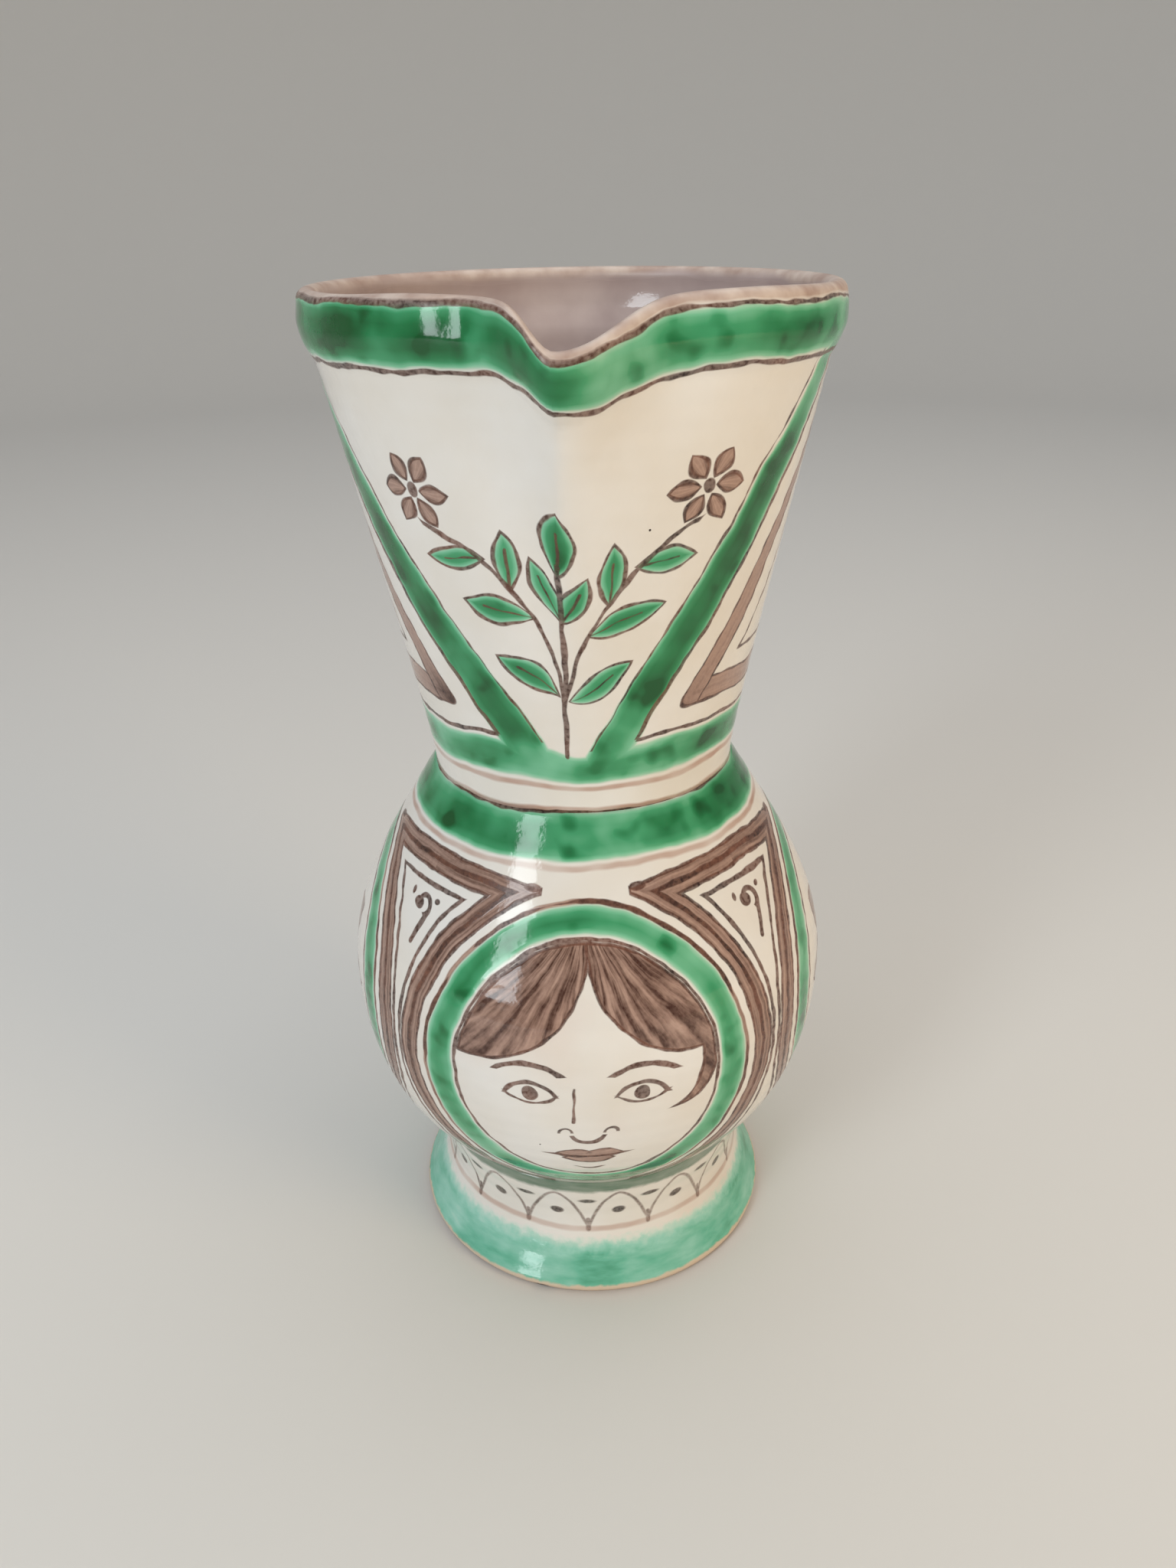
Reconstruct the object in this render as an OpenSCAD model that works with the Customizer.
// Glazed jug thrown in sections: a flared foot, a round belly and a flared neck with a pulled
// pouring lip, luted together, and a strap handle at the back. The lip points to -Y and the
// origin is the middle of the foot, on the table.

/* [Foot] */
// Outer diameter of the foot where it stands
foot_d = 114; // [102:1:126]
// Height of the foot up to the seam under the belly
foot_h = 40.5; // [33:0.5:48]
// Outer diameter of the seam between foot and belly
foot_seam_d = 103; // [96:1:108]
// Wall of the foot at the seam
foot_wall = 10.5; // [8:0.5:12.5]
// Width of the flat ring that the jug stands on
foot_land = 11; // [9:0.5:14]
// Rounding of the lower outer edge of the foot
foot_edge = 2.5; // [1:0.5:4]

/* [Belly] */
// Outer diameter of the belly at its widest
belly_d = 143; // [130:0.2:156]
// Height of the belly between its two seams
belly_h = 119.5; // [108:0.5:132]
// Height of the widest place above the foot seam
belly_widest_h = 53.5; // [46:0.5:60]
// Wall of the belly
belly_wall = 5.5; // [4:0.5:7]
// Thickness of the floor above the foot seam
floor_t = 8; // [6:0.5:11]

/* [Neck] */
// Outer diameter of the seam between belly and neck
neck_seam_d = 85; // [78:1:92]
// Height of the neck from its seam to the rim
neck_h = 125; // [110:1:138]
// Outer diameter that the straight side of the neck reaches at the rim
rim_d = 132.4; // [120:0.2:144]
// Wall of the neck, rounded over at the rim
neck_wall = 5; // [4:0.5:6]
// How far the side of the neck curves in from straight
neck_hollow = 1.1; // [0:0.1:3]
// How far the band under the rim swells out
rim_swell = 1.7; // [0:0.1:3]
// Height of the band under the rim
rim_band_h = 14; // [10:1:20]

/* [Pouring lip] */
// How far the lip is pulled out past the rim
lip_reach = 11.5; // [6:0.5:16]
// How far the lip dips below the rim
lip_drop = 8.5; // [5:0.5:14]
// Depth of the finger dents beside the lip
lip_dent = 2; // [0:0.5:4]
// How far the rim rises beyond the dents
rim_hump = 1; // [0:0.2:2]
// Angle from the front to the middle of the lip, which leans to the viewer's left
lip_turn = -2.5; // [-5:0.5:5]
// Angle over which the pull fades on the viewer's left
lip_left_angle = 8.5; // [7:0.5:12]
// Angle over which the pull fades on the viewer's right
lip_right_angle = 11.5; // [7:0.5:13]
// Height of the neck that the pull reaches down
lip_run = 62; // [44:1:80]

/* [Handle] */
// Width of the strap at its upper end
strap_w = 27; // [22:1:32]
// Thickness of the strap
strap_t = 10; // [7:0.5:12]
// Height of the upper joint below the rim
handle_top_drop = 42; // [38:1:52]
// Height of the lower joint above the widest place of the belly
handle_low_rise = 26; // [20:1:32]
// Length of the pull that shapes the upper bend
handle_top_pull = 56; // [44:1:68]
// Length of the pull that shapes the lower bend
handle_low_pull = 58; // [46:1:70]
// Tilt of the strap where it leaves the neck, upwards
handle_top_tilt = 4; // [0:1:10]
// Tilt of the strap where it leaves the belly, upwards
handle_low_tilt = 34; // [24:1:44]
// Height of the clay pads that hold the strap
pad_h = 5; // [3:0.5:8]
// How far a pad reaches past the side of the strap
pad_margin = 1.5; // [1:0.5:3]
// How far a pad spreads over its height
pad_spread = 3.5; // [2:0.5:5]

/* [Seams] */
// Thickness of the coil smeared over the inside of the neck seam
neck_coil_t = 2.5; // [1.5:0.5:4]
// How far that coil reaches above and below the seam
neck_coil_reach = 9; // [7:0.5:13]
// Legs of the coil pressed into the corner under the belly
foot_coil_leg = 7; // [5:0.5:10]
// Slip that stays between the neck and the coil inside it
slip_t = 0.1; // [0.1:0.05:0.3]

/* [Hidden] */
$fn = 96;

// Shares of the sizes that the throwing curves follow
foot_skirt_shares = [0.8, 0.5];
foot_waist_shares = [0.92, 0.53];
shoulder_shares = [0.59, 0.42, 0.33];
underside_shares = [0.66, 0.2, 0.11];
bowl_shares = [0.85, 0.8];
neck_level_shares = [0, 0.06, 0.15, 0.27, 0.4, 0.5, 0.6, 0.7, 0.78, 0.84, 0.885, 0.92, 0.95, 0.98, 1];
lip_dent_place_share = 2;
lip_dent_spread_share = 0.7;
lip_drop_left_share = 0.6;
lip_drop_right_share = 1.1;
rim_hump_place_share = 3.2;
rim_hump_spread_share = 1.9;
front_crowding_share = 0.5;
strap_taper_share = 0.82;
strap_corner_share = 0.6;
coil_round_share = 0.6;

// How far a shape runs past the wall that cuts it
overrun = 0.5;

// Counts of facets along and around the curved shapes
curve_steps = 12;
lip_round_steps = 5;
neck_sides = 72;
strap_rings = 24;
strap_sides = 20;
edge_step_angle = 30;

foot_r = foot_d/2;
foot_seam_r = foot_seam_d/2;
foot_bore_r = foot_seam_r - foot_wall;
foot_land_r = foot_r - foot_edge - foot_land;
belly_r = belly_d/2;
belly_in_r = belly_r - belly_wall;
belly_z = foot_h + belly_widest_h;
floor_z = foot_h + floor_t;
neck_seam_r = neck_seam_d/2;
throat_r = neck_seam_r - neck_wall;
neck_z = foot_h + belly_h;
rim_r = rim_d/2;
rim_z = neck_z + neck_h;
rim_round = neck_wall/2;

function between(a, b, share) = a + (b - a)*share;
function bezier(p, t) =
    p[0]*pow(1 - t, 3) + 3*p[1]*t*pow(1 - t, 2) + 3*p[2]*t*t*(1 - t) + p[3]*pow(t, 3);
function bezier_way(p, t) =
    (p[1] - p[0])*pow(1 - t, 2) + 2*(p[2] - p[1])*t*(1 - t) + (p[3] - p[2])*t*t;
function curve(p) = [for (i = [0:curve_steps]) bezier(p, i/curve_steps)];
function flipped(list) = [for (i = [len(list) - 1:-1:0]) list[i]];
function but_last(list) = [for (i = [0:len(list) - 2]) list[i]];
function unit(v) = v/norm(v);
function bell(x) = exp(-x*x);

// Outer and inner throwing curves of the belly, as [radius, height]
function shoulder(seam_r, widest_r) = curve([
    [seam_r, neck_z],
    [between(seam_r, widest_r, shoulder_shares[0]), between(neck_z, belly_z, shoulder_shares[1])],
    [widest_r, between(belly_z, neck_z, shoulder_shares[2])],
    [widest_r, belly_z]]);
underside = curve([
    [belly_r, belly_z],
    [belly_r, between(belly_z, foot_h, underside_shares[0])],
    [between(foot_seam_r, belly_r, underside_shares[1]), between(foot_h, belly_z, underside_shares[2])],
    [foot_seam_r, foot_h]]);
bowl = curve([
    [0, floor_z],
    [belly_in_r*bowl_shares[0], floor_z],
    [belly_in_r, between(belly_z, floor_z, bowl_shares[1])],
    [belly_in_r, belly_z]]);
belly_outside = concat(shoulder(neck_seam_r, belly_r), underside);
belly_inside = concat(bowl, flipped(shoulder(throat_r, belly_in_r)));

// The neck as a grid: a level from the seam to the rim, and an angle from the middle of the lip
function lip_side(angle) =
    let (turn = angle - lip_turn) turn < 0 ? -turn/lip_left_angle : turn/lip_right_angle;
function lip_plan(angle) =
    lip_reach*bell(lip_side(angle))
    - lip_dent*bell((lip_side(angle) - lip_dent_place_share)/lip_dent_spread_share);
function lip_dip(angle) =
    let (fade = angle < lip_turn ? lip_drop_left_share : lip_drop_right_share)
    lip_drop*bell(lip_side(angle)/fade)
    - rim_hump*bell((lip_side(angle) - rim_hump_place_share)/rim_hump_spread_share);
function lip_rise(level) = pow(max(0, 1 - (1 - level)*neck_h/lip_run), 2);
function rim_band(level) = max(0, 1 - (1 - level)*neck_h/rim_band_h);
function neck_r(level, angle) =
    between(neck_seam_r, rim_r, level) - neck_hollow*sin(180*sqrt(level))
    + rim_swell*sin(180*rim_band(level)) + lip_rise(level)*lip_plan(angle);
function neck_height(level, angle) = between(neck_z, rim_z - rim_round - lip_dip(angle), level);
function neck_side(angle, depth) =
    [for (level = neck_level_shares) [neck_r(level, angle) - depth, neck_height(level, angle)]];
function rim_arc(angle) = [for (i = [1:lip_round_steps - 1]) let (turn = 180*i/lip_round_steps)
    [neck_r(1, angle) - rim_round*(1 - cos(turn)), neck_height(1, angle) + rim_round*sin(turn)]];
function neck_loop(angle) =
    concat(neck_side(angle, 0), rim_arc(angle), flipped(neck_side(angle, neck_wall)));

// Angles around the neck, closer together at the lip
function neck_angle(i) = let (turn = 360*i/neck_sides - 180)
    turn - front_crowding_share*sin(turn)*180/PI;

// Where the handle meets the walls, as [reach, height], and the curve of the strap between its pads
function reach_at(outline, height) = lookup(height, [for (p = outline) [p[1], p[0]]]);
function way(tilt) = [cos(tilt), sin(tilt)];
top_joint_z = rim_z - handle_top_drop;
low_joint_z = belly_z + handle_low_rise;
top_joint = [reach_at(neck_side(180, 0), top_joint_z), top_joint_z];
low_joint = [reach_at(shoulder(neck_seam_r, belly_r), low_joint_z), low_joint_z];
strap_start = top_joint + pad_h*way(handle_top_tilt);
strap_end = low_joint + pad_h*way(handle_low_tilt);
strap_path = [strap_start, strap_start + handle_top_pull*way(handle_top_tilt),
              strap_end + handle_low_pull*way(handle_low_tilt), strap_end];
pad_top_r = strap_w/2 + pad_margin;
pad_sink = pad_top_r;
pad_sunk_r = pad_top_r + pad_spread*(pad_h + pad_sink)/pad_h;

// Joins rings of points, each the same number, into triangles, seen clockwise from outside
function ring_faces(rings, sides, closed) = [
    for (i = [0:(closed ? rings - 1 : rings - 2)], j = [0:sides - 1])
    let (a = i*sides + j, b = i*sides + (j + 1)%sides,
         c = (i + 1)%rings*sides + j, d = (i + 1)%rings*sides + (j + 1)%sides)
    each [[a, c, d], [a, d, b]]];

function rounded(x) = sign(x)*pow(abs(x), strap_corner_share);
function strap_ring(t) =
    let (middle = bezier(strap_path, t), along = unit(bezier_way(strap_path, t)),
         half_w = strap_w/2*between(1, strap_taper_share, t))
    [for (j = [0:strap_sides - 1])
     let (turn = 360*j/strap_sides, across = rounded(cos(turn))*half_w,
          out = rounded(sin(turn))*strap_t/2)
     [across, middle[0] + out*along[1], middle[1] - out*along[0]]];

module neck_core() {
    rotate_extrude() polygon(concat([[0, rim_z], [0, neck_z]], neck_side(180, 0)));
}

module belly_core() {
    rotate_extrude() polygon(concat([[0, foot_h], [0, neck_z]], belly_outside));
}

// A pad turned along the strap, sunk deep enough for the wall to cut its underside
module pad_blank(joint, tilt) {
    translate([0, joint[0], joint[1]])
        rotate([tilt - 90, 0, 0])
            translate([0, 0, -pad_sink])
                cylinder(h = pad_sink + pad_h, r1 = pad_sunk_r, r2 = pad_top_r);
}

module foot_ring() {
    edge = [for (turn = [-90:edge_step_angle:-edge_step_angle])
            [foot_r - foot_edge*(1 - cos(turn)), foot_edge*(1 + sin(turn))]];
    side = curve([
        [foot_r, foot_edge],
        [foot_r*foot_skirt_shares[0], foot_h*foot_skirt_shares[1]],
        [foot_seam_r*foot_waist_shares[0], foot_h*foot_waist_shares[1]],
        [foot_seam_r, foot_h]]);
    color([0.56, 0.79, 0.69])
        rotate_extrude() polygon(concat([[foot_bore_r, foot_h], [foot_land_r, 0]], edge, side));
}

module foot_seam_coil() {
    corner = [foot_bore_r, foot_h];
    down = corner + foot_coil_leg*unit([foot_land_r, 0] - corner);
    in = corner - [foot_coil_leg, 0];
    fillet = curve([
        in,
        between(in, corner, coil_round_share),
        between(down, corner, coil_round_share),
        down]);
    color([0.78, 0.66, 0.56]) rotate_extrude() polygon(concat([corner], fillet));
}

module belly() {
    color([0.9, 0.87, 0.8]) rotate_extrude() polygon(concat(belly_outside, [[0, foot_h]], belly_inside));
}

module neck_seam_coil() {
    neck_inside = neck_side(180, neck_wall + slip_t);
    low_z = neck_z - neck_coil_reach;
    high_z = neck_z + neck_coil_reach;
    low = [reach_at(shoulder(throat_r, belly_in_r), low_z) + overrun, low_z];
    high = [reach_at(neck_inside, high_z) + overrun, high_z];
    // The middle of the smear lies one coil thickness inside the seam
    bulge_r = (8*(throat_r - neck_coil_t) - low[0] - high[0])/6;
    smear = curve([low, [bulge_r, low_z], [bulge_r, high_z], high]);
    back = [belly_in_r, 0];
    color([0.84, 0.78, 0.74])
        rotate_extrude() intersection() {
            polygon(concat([low + back], smear, [high + back]));
            // Without the throat's own edge, which the coil clears by the slip
            polygon(concat(but_last(belly_inside), neck_inside, [[0, rim_z]]));
        }
}

module neck() {
    loops = [for (j = [0:neck_sides - 1]) neck_loop(neck_angle(j))];
    rings = len(loops[0]);
    points = [for (i = [0:rings - 1], j = [0:neck_sides - 1])
              let (p = loops[j][i], angle = neck_angle(j)) [p[0]*sin(angle), -p[0]*cos(angle), p[1]]];
    color([0.9, 0.87, 0.8]) polyhedron(points, ring_faces(rings, neck_sides, true));
}

module handle_strap() {
    points = [for (i = [0:strap_rings]) each strap_ring(i/strap_rings)];
    first = [for (j = [0:strap_sides - 1]) j];
    last = [for (j = [strap_sides - 1:-1:0]) strap_rings*strap_sides + j];
    color([0.88, 0.84, 0.77])
        polyhedron(points, concat([first], ring_faces(strap_rings + 1, strap_sides, false), [last]));
}

module upper_handle_pad() {
    color([0.88, 0.84, 0.77]) difference() {
        pad_blank(top_joint, handle_top_tilt);
        neck_core();
    }
}

module lower_handle_pad() {
    color([0.88, 0.84, 0.77]) difference() {
        pad_blank(low_joint, handle_low_tilt);
        belly_core();
    }
}

foot_ring();
foot_seam_coil();
belly();
neck_seam_coil();
neck();
handle_strap();
upper_handle_pad();
lower_handle_pad();
